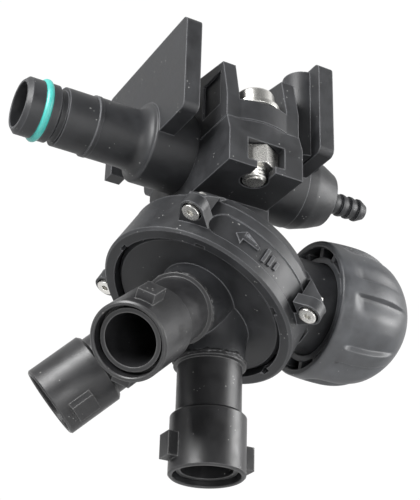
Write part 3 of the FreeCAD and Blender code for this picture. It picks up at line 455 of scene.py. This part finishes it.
def smooth_step(value):
    held = max(0.0, min(1.0, value))
    return held * held * (3 - 2 * held)


# %% [markdown]
# ## The hand knob
# A moulded cap with six flat ridges. Beside each ridge the wall is scooped out for the fingers, deepest
# at the ridge and fading into the round lobe. Inside, thin webs join the outer wall to a sleeve that
# turns on the valve's body; they show as a row of dark windows behind the rim.

# %% Knob shape
knob_low, knob_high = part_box("knob")
KNOB_RIM = knob_low[0] / MM
KNOB_TIP = knob_high[0] / MM
KNOB_WIDE = 23.5
KNOB_WALL = 2.3
WIDEST_PLACE = 46.0
RIM_TAPER = 0.7
DOME_POWER, DOME_ROOT = 2.35, 0.62
DOME_FINE_FROM = 66.0
RIDGE_SPACING = 60.0
KNOB_TURNED = -30
RIDGE_HALF = 6.0
RIDGE_FLANK, SCOOP_FADE = 3.0, 17.0
SCOOP_DEPTH = 1.7
SCOOP_SHARE = 0.9
SCOOP_FROM, SCOOP_RISE = 39.0, 5.0
SCOOP_TO, SCOOP_FALL = 66.0, 12.0
SLEEVE_INSIDE, SLEEVE_OUTSIDE = 15.75, 17.7
WEB_FROM, WEB_TO, WEB_COUNT = 37.6, 60.0, 14
WEB_HALF = 0.8
WEB_END, WEB_END_REACH = 57.0, 19.4
SPINDLE_FROM, SPINDLE_RADIUS = 49.2, 3.8


def knob_radius(place):
    """The knob's outer radius, without its scoops, at a place along X."""
    if place < WIDEST_PLACE:
        return KNOB_WIDE - RIM_TAPER * ((WIDEST_PLACE - place) / (WIDEST_PLACE - KNOB_RIM)) ** 2
    share = min(1.0, (place - WIDEST_PLACE) / (KNOB_TIP - WIDEST_PLACE))
    return KNOB_WIDE * (1.0 - share ** DOME_POWER) ** DOME_ROOT


def scoop(place):
    """The wall's radius at an angle, with the scoops cut in."""
    starting = smooth_step((place - SCOOP_FROM) / SCOOP_RISE)
    depth = SCOOP_DEPTH * starting * smooth_step((SCOOP_TO - place) / SCOOP_FALL)

    def radius(degrees):
        away = abs((degrees + RIDGE_SPACING / 2) % RIDGE_SPACING - RIDGE_SPACING / 2)
        falling = smooth_step((away - RIDGE_HALF) / RIDGE_FLANK)
        rising = 1.0 - SCOOP_SHARE * smooth_step((away - RIDGE_HALF - RIDGE_FLANK) / SCOOP_FADE)
        return knob_radius(place) - depth * falling * rising
    return radius


knob_across = Matrix.Rotation(math.radians(KNOB_TURNED), 3, "X") @ Vector((0, 0, 1))
knob_frame = axis_frame(Vector((0, 0, knob_point.z)), (1, 0, 0), knob_across)
knob_mesh = bmesh.new()
# The inner wall starts as a shallow dome under the tip and widens towards the rim.
CEILING_DROP, CEILING_RISE, CEILING_RADIUS = 9.0, 4.0, 19.0
inside = [(KNOB_TIP - CEILING_DROP + CEILING_RISE * math.cos(math.radians(turn)) - CEILING_RISE,
           CEILING_RADIUS * math.sin(math.radians(turn)))
          for turn in range(6, 85, 8)]
inside += [(58.0, 18.6), (52.0, 20.2), (WIDEST_PLACE, KNOB_WIDE - KNOB_WALL),
           (KNOB_RIM + 0.5, KNOB_WIDE - KNOB_WALL - 0.5),
           (KNOB_RIM, KNOB_WIDE - KNOB_WALL - 0.1)]
outside = [(KNOB_RIM, KNOB_WIDE - 1.1), (KNOB_RIM + 0.25, knob_radius(KNOB_RIM) - 0.1)]
place = KNOB_RIM + 0.7
while place < KNOB_TIP - 0.1:
    outside.append((place, scoop(place)))
    place += 0.55 if place < DOME_FINE_FROM else 0.3
outside.append((KNOB_TIP, 0.4))
add_rows(knob_mesh, knob_frame, inside + outside, 288)
sleeve = [(WEB_FROM, SLEEVE_INSIDE), (WEB_FROM, SLEEVE_OUTSIDE),
          (WEB_TO, SLEEVE_OUTSIDE), (WEB_TO, SLEEVE_INSIDE)]
add_rows(knob_mesh, knob_frame, sleeve, 96, closed=True)
for number in range(WEB_COUNT):
    web_frame = knob_frame @ Matrix.Rotation(2 * math.pi * number / WEB_COUNT, 4, "Z")
    turned_web = web_frame @ Matrix.Rotation(math.radians(90), 4, "X")
    web = [(SLEEVE_OUTSIDE - 0.3, WEB_FROM), (KNOB_WIDE - KNOB_WALL + 0.4, WEB_FROM),
           (KNOB_WIDE - KNOB_WALL + 0.4, WIDEST_PLACE), (WEB_END_REACH, WEB_END),
           (SLEEVE_OUTSIDE - 0.3, WEB_END)]
    add_slab(knob_mesh, turned_web, web, -WEB_HALF, WEB_HALF)
spindle = [(SPINDLE_FROM, SPINDLE_RADIUS), (KNOB_TIP - 6.0, SPINDLE_RADIUS)]
add_rows(knob_mesh, knob_frame, spindle, 48)
knob_piece = finish_piece("fluted_knob", knob_mesh, knob_black, "knob")
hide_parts("knob")
print("knob ridges:", round(360 / RIDGE_SPACING), "webs:", WEB_COUNT)

# %% [markdown]
# ## The clamp's bolt
# A cap screw: its head is turned with a small radius at the top and a hexagon key recess, and the
# lower end carries a rolled thread that shows under the nut. The thread is a real helix, so it catches
# the light as the bolt turns.

# %% Bolt shape
bolt_low, bolt_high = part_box("clamp_bolt")
HEAD_RADIUS = (bolt_high[0] - bolt_low[0]) / 2 / MM
THREAD_RADIUS = 3.93
THREAD_DEPTH = 0.62
THREAD_PITCH = 1.25
HEAD_HEIGHT = 5.2
HEAD_ROUND = 0.9
KEY_FLATS, KEY_DEPTH, KEY_BEVEL = 3.4, 3.0, 0.25
THREAD_LENGTH = 16.0
THREAD_STEP = 0.14
bolt_top, bolt_end = bolt_high[2] / MM, bolt_low[2] / MM
head_back = bolt_top - HEAD_HEIGHT
thread_start = bolt_end + THREAD_LENGTH


def hexagon_radius(flats):
    return lambda degrees: flats / math.cos(math.radians((degrees + 30.0) % 60.0 - 30.0))


def thread_radius(place):
    end_taper = 0.8 * smooth_step((bolt_end + 1.0 - place) / 1.0)
    run_out = smooth_step((thread_start - place) / 1.5)

    def radius(degrees):
        turn = (place / THREAD_PITCH - degrees / 360.0) % 1.0
        crest = min(1.0, 2.4 * min(turn, 1.0 - turn))
        return THREAD_RADIUS - THREAD_DEPTH * run_out * (1.0 - crest) - end_taper
    return radius


bolt_frame = axis_frame(Vector((bolt_point.x, bolt_point.y, 0)), (0, 0, 1), (1, 0, 0))
bolt_mesh = bmesh.new()
rows = [(bolt_end, THREAD_RADIUS - 1.0)]
place = bolt_end + 0.05
while place < thread_start:
    rows.append((place, thread_radius(place)))
    place += THREAD_STEP
rows += [(head_back, THREAD_RADIUS), (head_back, HEAD_RADIUS - 0.2), (head_back + 0.2, HEAD_RADIUS)]
rows += [(bolt_top - HEAD_ROUND + HEAD_ROUND * math.sin(math.radians(turn)),
          HEAD_RADIUS - HEAD_ROUND + HEAD_ROUND * math.cos(math.radians(turn)))
         for turn in (0, 18, 36, 54, 72, 90)]
rows += [(bolt_top, hexagon_radius(KEY_FLATS + KEY_BEVEL)),
         (bolt_top - KEY_BEVEL, hexagon_radius(KEY_FLATS)),
         (bolt_top - KEY_DEPTH, hexagon_radius(KEY_FLATS))]
add_rows(bolt_mesh, bolt_frame, rows, 96)
bolt_piece = finish_piece("cap_screw", bolt_mesh, turned_steel, "bolt")
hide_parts("clamp_bolt")
print("bolt thread turns:", round((thread_start - bolt_end) / THREAD_PITCH, 1))

# %% [markdown]
# ## Flash at the welded outlets
# The three outlet tubes are spin-welded to the turret. Molten nylon squeezes out of the joint and
# freezes as an uneven bead. Each bead is a ring whose thickness wanders with a few random waves.

# %% Weld beads
random.seed(41)
OUTLET_ANGLES = {"outlet_down": 0.0, "outlet_front": 120.0, "outlet_rear": 240.0}
BEAD_PLACE = 26.9
BEAD_RADIUS = 10.75
BEAD_HALF_LENGTH, BEAD_HEIGHT = 0.75, 0.72
BEAD_POINTS = 14
DRIFT_SHARE, LENGTH_SHARE = 0.8, 0.7
HEIGHT_SHARE, FRAY_SHARE = 0.5, 0.25
WAVE_COUNTS = (3, 5, 8, 13, 21, 34)


def bead_wave():
    """A function of the angle in degrees: the sum of a few waves of random size and start."""
    waves = [(count, random.uniform(0.04, 0.16), random.uniform(0, 360)) for count in WAVE_COUNTS]
    return lambda degrees: sum(
        size * math.sin(math.radians(count * degrees + start)) for count, size, start in waves)


def bead_row(turn, thick, drift, fray):
    """The place and the radius, as functions of the angle, of one row of the bead's section."""
    def place_at(degrees):
        half_length = BEAD_HALF_LENGTH + thick(degrees) * LENGTH_SHARE
        return BEAD_PLACE + drift(degrees) * DRIFT_SHARE + half_length * math.cos(turn)

    def radius_at(degrees):
        height = BEAD_HEIGHT + thick(degrees) * HEIGHT_SHARE + fray(degrees) * FRAY_SHARE
        return BEAD_RADIUS + height * math.sin(turn)
    return place_at, radius_at


for name, angle in OUTLET_ANGLES.items():
    mouth = Vector(mounts[name + "_mouth"]["pos_m"])
    along = (mouth - turret_apex).normalized()
    bead_frame = axis_frame(turret_apex, along, turret_axis)
    thick, drift, fray = bead_wave(), bead_wave(), bead_wave()
    rows = [bead_row(2 * math.pi * step / BEAD_POINTS, thick, drift, fray) for step in range(BEAD_POINTS)]
    bead_mesh = bmesh.new()
    add_rows(bead_mesh, bead_frame, rows, 240, closed=True)
    finish_piece(name + "_flash", bead_mesh, glossy_black, "turret")
print("weld beads:", len(OUTLET_ANGLES))

# %% [markdown]
# ## Marks on the collar
# The sunk panel on the collar's side carries raised marks that tell which way to turn the turret. Here
# they are a plain arrow and three bars. Each mark is a thin slab bent to the collar's cylinder.

# %% Arrow and bars
PANEL_FLOOR = 32.2
MARK_TOP = 32.85


def add_mark(mesh, outline, segments=10):
    """Bend a polygon of (degrees round the collar, mm along the axis) onto the panel."""
    fine = []
    for step, (degrees, along) in enumerate(outline):
        to_degrees, to_along = outline[(step + 1) % len(outline)]
        for part in range(segments):
            share = part / segments
            fine.append((degrees + (to_degrees - degrees) * share, along + (to_along - along) * share))
    shells = []
    for radius in (PANEL_FLOOR, MARK_TOP):
        shell = []
        for degrees, along in fine:
            turn = math.radians(degrees)
            spot = Vector((radius * math.cos(turn), radius * math.sin(turn), along)) * MM
            shell.append(mesh.verts.new(collar_frame @ spot))
        shells.append(shell)
    floor_shell, top_shell = shells
    for step in range(len(fine)):
        after = (step + 1) % len(fine)
        mesh.faces.new((floor_shell[step], floor_shell[after], top_shell[after], top_shell[step]))
    lid = mesh.faces.new(top_shell)
    bmesh.ops.triangulate(mesh, faces=[lid])


collar_frame = axis_frame(turret_apex, turret_axis, Vector((0, 1, 0)).cross(turret_axis))
marks = bmesh.new()
ARROW = [(286.5, 2.9), (281.5, 5.6), (281.5, 3.6), (271.5, 3.6), (271.5, 2.2), (281.5, 2.2), (281.5, 0.2)]
add_mark(marks, ARROW)
BAR_MIDDLE = 2.9
BAR_DEGREES = 2.0
BARS = ((267.5, 5.4), (263.5, 4.2), (259.5, 3.0))
for start, width in BARS:
    low, high = BAR_MIDDLE - width / 2, BAR_MIDDLE + width / 2
    add_mark(marks, [(start, low), (start - BAR_DEGREES, low), (start - BAR_DEGREES, high), (start, high)])
finish_piece("collar_marks", marks, matt_black, "base", math.radians(25))
print("collar marks made")

# %% [markdown]
# ## Floor, light and camera
# The valve hangs from its bracket, so the floor is well below it. Three soft lamps stand left, right and
# in front. The world around is pale on the far side and dim on the near side, as in a light tent that is
# open in front. The camera looks up at the valve from the lower left.

# %% Floor
FLOOR_DROP = 0.55
FLOOR_HALF = 4.0
FLOOR_COLOUR = (0.85, 0.85, 0.85, 1)
FLOOR_ROUGHNESS = 0.8
floor_mesh = bpy.data.meshes.new("floor")
builder = bmesh.new()
bmesh.ops.create_grid(builder, x_segments=8, y_segments=8, size=FLOOR_HALF)
builder.to_mesh(floor_mesh)
builder.free()
floor = bpy.data.objects.new("floor", floor_mesh)
floor.location = (0, 0, cad_box[0][2] - FLOOR_DROP)
bpy.context.scene.collection.objects.link(floor)
floor_paint = bpy.data.materials.new("Pale floor")
floor_paint.use_nodes = True
floor_shader = floor_paint.node_tree.nodes["Principled BSDF"]
floor_shader.inputs["Base Color"].default_value = FLOOR_COLOUR
floor_shader.inputs["Roughness"].default_value = FLOOR_ROUGHNESS
floor_mesh.materials.append(floor_paint)

# %% World
TENT_BRIGHT = 1.02
TENT_DIM = 0.1
BRIGHT_TOWARDS = (0.42, 0.78, 0.47)
FADE_FROM, FADE_TO = -0.6, 0.85
world = bpy.data.worlds.new("Light tent")
world.use_nodes = True
tent = world.node_tree
direction = tent.nodes.new("ShaderNodeTexCoord")
bright_side = tent.nodes.new("ShaderNodeVectorMath")
bright_side.operation = "DOT_PRODUCT"
tent.links.new(direction.outputs["Generated"], bright_side.inputs[0])
bright_side.inputs[1].default_value = BRIGHT_TOWARDS
spread = tent.nodes.new("ShaderNodeMapRange")
spread.interpolation_type = "SMOOTHSTEP"
spread.inputs["From Min"].default_value = FADE_FROM
spread.inputs["From Max"].default_value = FADE_TO
spread.inputs["To Min"].default_value = TENT_DIM
spread.inputs["To Max"].default_value = TENT_BRIGHT
tent.links.new(bright_side.outputs["Value"], spread.inputs["Value"])
tent.links.new(spread.outputs["Result"], tent.nodes["Background"].inputs["Strength"])
tent.nodes["Background"].inputs["Color"].default_value = (1.0, 1.0, 1.0, 1)
bpy.context.scene.world = world
bpy.context.scene.view_settings.view_transform = "Standard"


# %% Lamps
LAMP_AIM = Vector((0, 0, -0.03))


def soft_lamp(name, place, size, power):
    lamp = bpy.data.lights.new(name, "AREA")
    lamp.size = size
    lamp.energy = power
    holder = bpy.data.objects.new(name, lamp)
    holder.location = place
    aim = LAMP_AIM - Vector(place)
    holder.rotation_euler = aim.to_track_quat("-Z", "Y").to_euler()
    bpy.context.scene.collection.objects.link(holder)


soft_lamp("left lamp", (-0.75, -0.35, 0.3), 0.45, 21.0)
soft_lamp("front lamp", (-0.1, -0.85, -0.35), 0.35, 4.5)
soft_lamp("right lamp", (0.75, -0.45, 0.05), 0.5, 13.0)

# %% Camera
CAMERA_PLACE = Vector((-0.17924, -0.32762, -0.22923))
CAMERA_RIGHT = Vector((0.87191, -0.48905, 0.02461))
CAMERA_UP = Vector((-0.24766, -0.39709, 0.88373))
LENS = 94.04
SENSOR_WIDTH = 36.0
camera_data = bpy.data.cameras.new("camera")
camera_data.lens = LENS
camera_data.sensor_width = SENSOR_WIDTH
camera = bpy.data.objects.new("camera", camera_data)
backward = CAMERA_RIGHT.cross(CAMERA_UP).normalized()
upward = backward.cross(CAMERA_RIGHT).normalized()
turn = Matrix((CAMERA_RIGHT.normalized(), upward, backward)).transposed().to_4x4()
camera.matrix_world = Matrix.Translation(CAMERA_PLACE) @ turn
bpy.context.scene.collection.objects.link(camera)
bpy.context.scene.camera = camera
print("camera distance (m):", round(CAMERA_PLACE.length, 3))
